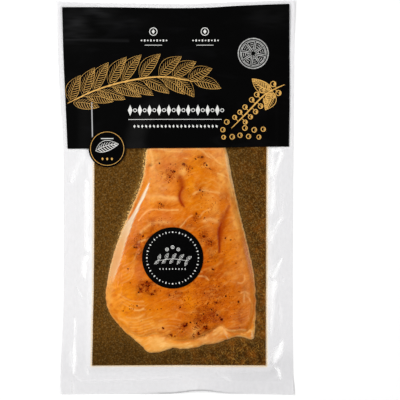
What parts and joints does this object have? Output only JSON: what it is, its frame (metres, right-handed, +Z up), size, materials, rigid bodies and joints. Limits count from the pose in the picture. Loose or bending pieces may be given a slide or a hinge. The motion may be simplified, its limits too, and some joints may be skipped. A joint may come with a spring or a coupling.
{
  "type": "peppered smoked salmon pack",
  "caption": "Flat clear vacuum pouch of peppered smoked salmon slices on a gold card, with a black paper label across its upper end and round black stickers.",
  "frame": {"origin": "centre of the bounding box's base, on the surface that the pack lies on", "axes": "+Z up through the shown face, +Y along the pack towards its labelled end, +X to the right of the label"},
  "size_m": [0.153, 0.2524, 0.0117],
  "materials": {
    "pouch_film": "clear glossy vacuum film, faintly milky where two sheets are sealed together",
    "gold_card": "dark gold laminate with a brushed fibre look, cream cut edge",
    "salmon_lower": "pale orange smoked salmon with a wet sheen",
    "salmon_top": "deep orange smoked salmon with pale fat lines, brown stains and coarse black pepper",
    "label_paper": "satin coated black paper printed in gold and off-white",
    "round_sticker_paper": "satin coated black paper printed in off-white",
    "badge_paper": "satin coated black paper printed in gold"
  },
  "bodies": {
    "root": {"pouch": "pouch_film", "card": "gold_card", "salmon_lower_slices": "salmon_lower", "salmon_top_slices": "salmon_top", "label": "label_paper", "round_sticker": "round_sticker_paper", "badge_sticker": "badge_paper"}
  },
  "joints": []
}
